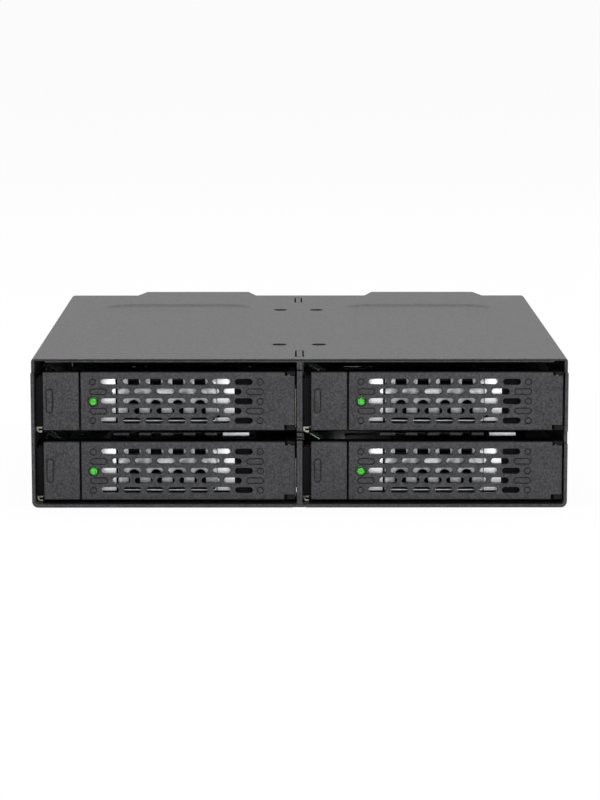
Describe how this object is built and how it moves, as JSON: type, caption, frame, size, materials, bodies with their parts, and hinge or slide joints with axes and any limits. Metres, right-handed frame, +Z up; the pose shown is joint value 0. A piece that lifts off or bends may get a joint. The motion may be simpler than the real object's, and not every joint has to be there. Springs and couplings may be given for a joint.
{
  "type": "hot swap drive cage",
  "caption": "Black steel half-height bay cage with pull-out 2.5 inch drive trays, vented lever doors and rear exhaust fans.",
  "frame": {"origin": "centre of the underside, on the centreline, at the middle of the housing's length", "axes": "+X to the right seen from the front, +Y to the rear, +Z up; the tray fronts face -Y"},
  "size_m": [0.146, 0.1592, 0.041],
  "materials": {
    "cage_paint": "fine texture powder coat",
    "tray_plastic": "fine grain moulded",
    "tray_steel": "zinc plated",
    "bright_plate": "bright nickel plated",
    "zinc_steel": "zinc plated",
    "black_screw": "black oxide",
    "board_green": "solder mask",
    "connector_black": "moulded",
    "fan_plastic": "moulded",
    "light_green": "lit clear rod",
    "lamp_green": "lamp"
  },
  "bodies": {
    "cage": {"base_shell": "cage_paint", "top_cover": "cage_paint", "divider_left": "cage_paint", "divider_right": "cage_paint", "shelf_left": "cage_paint", "shelf_right": "cage_paint", "rear_panel": "cage_paint", "backplane_board": "board_green", "drive_connector_lower_left": "connector_black", "drive_connector_lower_right": "connector_black", "drive_connector_upper_left": "connector_black", "drive_connector_upper_right": "connector_black", "status_lamps": "lamp_green", "data_ports": "connector_black", "power_ports": "connector_black", "board_standoffs": "zinc_steel", "board_screws": "zinc_steel", "cover_screws": "black_screw", "panel_rivets_left": "cage_paint", "panel_rivets_right": "cage_paint", "fan_frame_left": "fan_plastic", "fan_frame_right": "fan_plastic", "fan_screws": "black_screw"},
    "fan_left": {"fan_rotor_left": "fan_plastic"},
    "fan_right": {"fan_rotor_right": "fan_plastic"},
    "tray_lower_left": {"tray_frame_lower_left": "tray_steel", "front_plate_lower_left": "bright_plate", "tray_bezel_lower_left": "tray_plastic", "light_pipe_lower_left": "light_green", "hinge_pin_lower_left": "zinc_steel", "latch_spring_lower_left": "zinc_steel"},
    "lever_lower_left": {"lever_lower_left": "tray_plastic"},
    "latch_lower_left": {"latch_slider_lower_left": "tray_plastic"},
    "tray_lower_right": {"tray_frame_lower_right": "tray_steel", "front_plate_lower_right": "bright_plate", "tray_bezel_lower_right": "tray_plastic", "light_pipe_lower_right": "light_green", "hinge_pin_lower_right": "zinc_steel", "latch_spring_lower_right": "zinc_steel"},
    "lever_lower_right": {"lever_lower_right": "tray_plastic"},
    "latch_lower_right": {"latch_slider_lower_right": "tray_plastic"},
    "tray_upper_left": {"tray_frame_upper_left": "tray_steel", "front_plate_upper_left": "bright_plate", "tray_bezel_upper_left": "tray_plastic", "light_pipe_upper_left": "light_green", "hinge_pin_upper_left": "zinc_steel", "latch_spring_upper_left": "zinc_steel"},
    "lever_upper_left": {"lever_upper_left": "tray_plastic"},
    "latch_upper_left": {"latch_slider_upper_left": "tray_plastic"},
    "tray_upper_right": {"tray_frame_upper_right": "tray_steel", "front_plate_upper_right": "bright_plate", "tray_bezel_upper_right": "tray_plastic", "light_pipe_upper_right": "light_green", "hinge_pin_upper_right": "zinc_steel", "latch_spring_upper_right": "zinc_steel"},
    "lever_upper_right": {"lever_upper_right": "tray_plastic"},
    "latch_upper_right": {"latch_slider_upper_right": "tray_plastic"}
  },
  "joints": [
    {"name": "tray_slide_lower_left", "type": "slide", "parent": "cage", "child": "tray_lower_left", "axis": [0, -1, 0], "range_m": [0, 0.13]},
    {"name": "lever_hinge_lower_left", "type": "hinge", "parent": "tray_lower_left", "child": "lever_lower_left", "pos_m": [-0.00292, -0.0722, 0.0101], "axis": [0, 0, 1], "range_deg": [0, 80]},
    {"name": "latch_push_lower_left", "type": "slide", "parent": "tray_lower_left", "child": "latch_lower_left", "axis": [-1, 0, 0], "range_m": [0, 0.0018], "stiffness_N_per_m": 300},
    {"name": "tray_slide_lower_right", "type": "slide", "parent": "cage", "child": "tray_lower_right", "axis": [0, -1, 0], "range_m": [0, 0.13]},
    {"name": "lever_hinge_lower_right", "type": "hinge", "parent": "tray_lower_right", "child": "lever_lower_right", "pos_m": [0.06993, -0.0722, 0.0101], "axis": [0, 0, 1], "range_deg": [0, 80]},
    {"name": "latch_push_lower_right", "type": "slide", "parent": "tray_lower_right", "child": "latch_lower_right", "axis": [-1, 0, 0], "range_m": [0, 0.0018], "stiffness_N_per_m": 300},
    {"name": "tray_slide_upper_left", "type": "slide", "parent": "cage", "child": "tray_upper_left", "axis": [0, -1, 0], "range_m": [0, 0.13]},
    {"name": "lever_hinge_upper_left", "type": "hinge", "parent": "tray_upper_left", "child": "lever_upper_left", "pos_m": [-0.00292, -0.0722, 0.0293], "axis": [0, 0, 1], "range_deg": [0, 80]},
    {"name": "latch_push_upper_left", "type": "slide", "parent": "tray_upper_left", "child": "latch_upper_left", "axis": [-1, 0, 0], "range_m": [0, 0.0018], "stiffness_N_per_m": 300},
    {"name": "tray_slide_upper_right", "type": "slide", "parent": "cage", "child": "tray_upper_right", "axis": [0, -1, 0], "range_m": [0, 0.13]},
    {"name": "lever_hinge_upper_right", "type": "hinge", "parent": "tray_upper_right", "child": "lever_upper_right", "pos_m": [0.06993, -0.0722, 0.0293], "axis": [0, 0, 1], "range_deg": [0, 80]},
    {"name": "latch_push_upper_right", "type": "slide", "parent": "tray_upper_right", "child": "latch_upper_right", "axis": [-1, 0, 0], "range_m": [0, 0.0018], "stiffness_N_per_m": 300},
    {"name": "fan_spin_left", "type": "hinge", "parent": "cage", "child": "fan_left", "pos_m": [-0.03252, 0.079, 0.0203], "axis": [0, 1, 0], "continuous": true},
    {"name": "fan_spin_right", "type": "hinge", "parent": "cage", "child": "fan_right", "pos_m": [0.04032, 0.079, 0.0203], "axis": [0, 1, 0], "continuous": true}
  ]
}
